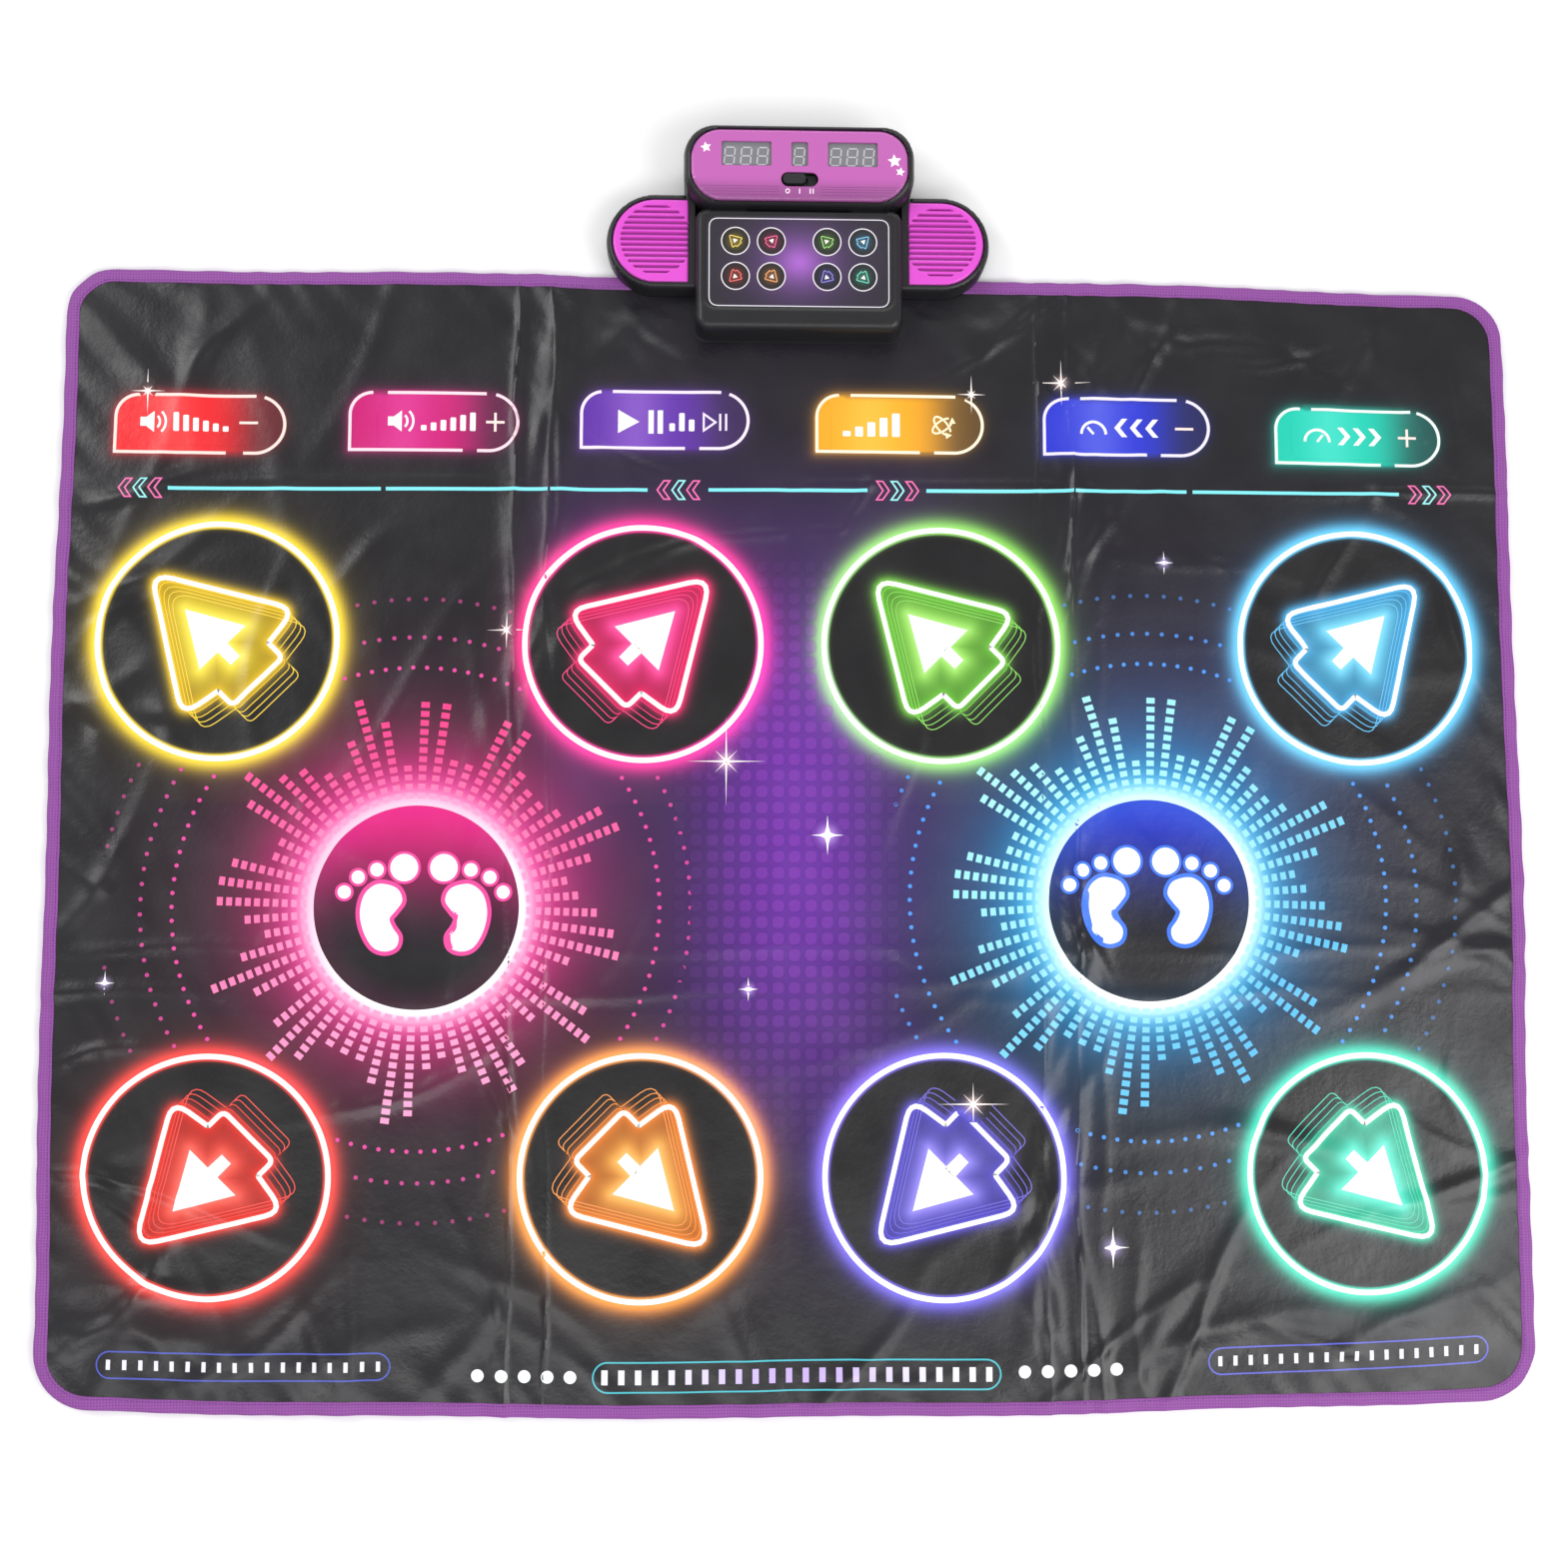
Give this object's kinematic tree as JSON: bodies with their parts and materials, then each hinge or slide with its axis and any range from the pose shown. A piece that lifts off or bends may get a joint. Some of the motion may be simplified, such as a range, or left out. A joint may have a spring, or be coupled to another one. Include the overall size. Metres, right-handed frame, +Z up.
{
  "type": "dance rhythm machine",
  "caption": "Folding dance mat with round arrow pads and function pads, and a controller with digit displays, lit icons and speakers at its far edge.",
  "frame": {"origin": "centre of the bounding box on the floor plane, under the mat", "axes": "+X right along the long side, +Y from the dancer to the controller, +Z up from the floor"},
  "size_m": [1.1, 0.957, 0.0465],
  "materials": {
    "grip_sheet": "fine grip texture",
    "contact_film": "satin",
    "spacer_foam": "soft",
    "printed_sheet": "satin printed vinyl",
    "binding_tape": "woven tape",
    "pad_yellow": "satin",
    "pad_crimson": "satin",
    "pad_green": "satin",
    "pad_sky": "satin",
    "pad_red": "satin",
    "pad_orange": "satin",
    "pad_indigo": "satin",
    "pad_teal": "satin",
    "function_pad": "satin",
    "black_case": "satin moulding",
    "pink_moulding": "gloss",
    "display": "gloss",
    "circuit_board": "solder mask",
    "steel": "plated",
    "white_plastic": "matt",
    "knob": "ribbed",
    "icon_film": "satin",
    "lens": "frosted",
    "led": "gloss",
    "rubber": "matt",
    "paper_cone": "matt",
    "wire": "gloss",
    "cell_jacket": "gloss"
  },
  "bodies": {
    "middle": {"base_sheet_centre": "grip_sheet", "lower_film_centre": "contact_film", "foam_centre": "spacer_foam", "top_sheet_centre": "printed_sheet", "binding_centre": "binding_tape", "film_tail": "contact_film", "clamp_bar": "black_case", "clamp_screws": "steel", "base_shell": "black_case", "top_shell": "black_case", "rubber_feet": "rubber", "case_screws": "steel", "fascia": "pink_moulding", "display_modules": "display", "display_board": "circuit_board", "switch_body": "white_plastic", "icon_film": "icon_film", "icon_lenses": "lens", "light_reflector": "white_plastic", "icon_leds": "led", "main_board": "circuit_board", "board_screws": "steel", "left_pod": "black_case", "right_pod": "black_case", "left_grille": "pink_moulding", "right_grille": "pink_moulding", "speaker_magnets": "steel", "speaker_frames": "steel", "speaker_cones": "paper_cone", "speaker_wires": "wire", "battery_box": "black_case", "batteries": "cell_jacket", "battery_contacts": "steel"},
    "left_panel": {"base_sheet_left": "grip_sheet", "lower_film_left": "contact_film", "foam_left": "spacer_foam", "top_sheet_left": "printed_sheet", "binding_left": "binding_tape"},
    "right_panel": {"base_sheet_right": "grip_sheet", "lower_film_right": "contact_film", "foam_right": "spacer_foam", "top_sheet_right": "printed_sheet", "binding_right": "binding_tape"},
    "knob": {"switch_knob": "knob"},
    "door": {"battery_door": "black_case"},
    "dance_pad_1": {"dance_pad_1": "pad_yellow"},
    "dance_pad_2": {"dance_pad_2": "pad_crimson"},
    "dance_pad_3": {"dance_pad_3": "pad_green"},
    "dance_pad_4": {"dance_pad_4": "pad_sky"},
    "dance_pad_5": {"dance_pad_5": "pad_red"},
    "dance_pad_6": {"dance_pad_6": "pad_orange"},
    "dance_pad_7": {"dance_pad_7": "pad_indigo"},
    "dance_pad_8": {"dance_pad_8": "pad_teal"},
    "function_pad_1": {"function_pad_1": "function_pad"},
    "function_pad_2": {"function_pad_2": "function_pad"},
    "function_pad_3": {"function_pad_3": "function_pad"},
    "function_pad_4": {"function_pad_4": "function_pad"},
    "function_pad_5": {"function_pad_5": "function_pad"},
    "function_pad_6": {"function_pad_6": "function_pad"}
  },
  "joints": [
    {"name": "left_fold", "type": "hinge", "parent": "middle", "child": "left_panel", "pos_m": [-0.2035, 0, 0.0058], "axis": [0, 1, 0], "range_deg": [0, 120]},
    {"name": "right_fold", "type": "hinge", "parent": "middle", "child": "right_panel", "pos_m": [0.2035, 0, 0.0058], "axis": [0, -1, 0], "range_deg": [0, 120]},
    {"name": "dance_press_1", "type": "slide", "parent": "left_panel", "child": "dance_pad_1", "axis": [0, 0, -1], "range_m": [0, 0.002], "stiffness_N_per_m": 4000},
    {"name": "dance_press_2", "type": "slide", "parent": "middle", "child": "dance_pad_2", "axis": [0, 0, -1], "range_m": [0, 0.002], "stiffness_N_per_m": 4000},
    {"name": "dance_press_3", "type": "slide", "parent": "middle", "child": "dance_pad_3", "axis": [0, 0, -1], "range_m": [0, 0.002], "stiffness_N_per_m": 4000},
    {"name": "dance_press_4", "type": "slide", "parent": "right_panel", "child": "dance_pad_4", "axis": [0, 0, -1], "range_m": [0, 0.002], "stiffness_N_per_m": 4000},
    {"name": "dance_press_5", "type": "slide", "parent": "left_panel", "child": "dance_pad_5", "axis": [0, 0, -1], "range_m": [0, 0.002], "stiffness_N_per_m": 4000},
    {"name": "dance_press_6", "type": "slide", "parent": "middle", "child": "dance_pad_6", "axis": [0, 0, -1], "range_m": [0, 0.002], "stiffness_N_per_m": 4000},
    {"name": "dance_press_7", "type": "slide", "parent": "middle", "child": "dance_pad_7", "axis": [0, 0, -1], "range_m": [0, 0.002], "stiffness_N_per_m": 4000},
    {"name": "dance_press_8", "type": "slide", "parent": "right_panel", "child": "dance_pad_8", "axis": [0, 0, -1], "range_m": [0, 0.002], "stiffness_N_per_m": 4000},
    {"name": "function_press_1", "type": "slide", "parent": "left_panel", "child": "function_pad_1", "axis": [0, 0, -1], "range_m": [0, 0.002], "stiffness_N_per_m": 1500},
    {"name": "function_press_2", "type": "slide", "parent": "left_panel", "child": "function_pad_2", "axis": [0, 0, -1], "range_m": [0, 0.002], "stiffness_N_per_m": 1500},
    {"name": "function_press_3", "type": "slide", "parent": "middle", "child": "function_pad_3", "axis": [0, 0, -1], "range_m": [0, 0.002], "stiffness_N_per_m": 1500},
    {"name": "function_press_4", "type": "slide", "parent": "middle", "child": "function_pad_4", "axis": [0, 0, -1], "range_m": [0, 0.002], "stiffness_N_per_m": 1500},
    {"name": "function_press_5", "type": "slide", "parent": "right_panel", "child": "function_pad_5", "axis": [0, 0, -1], "range_m": [0, 0.002], "stiffness_N_per_m": 1500},
    {"name": "function_press_6", "type": "slide", "parent": "right_panel", "child": "function_pad_6", "axis": [0, 0, -1], "range_m": [0, 0.002], "stiffness_N_per_m": 1500},
    {"name": "switch_slide", "type": "slide", "parent": "middle", "child": "knob", "axis": [1, 0, 0], "range_m": [0, 0.008]},
    {"name": "door_slide", "type": "slide", "parent": "middle", "child": "door", "axis": [0, 1, 0], "range_m": [0, 0.06]}
  ]
}
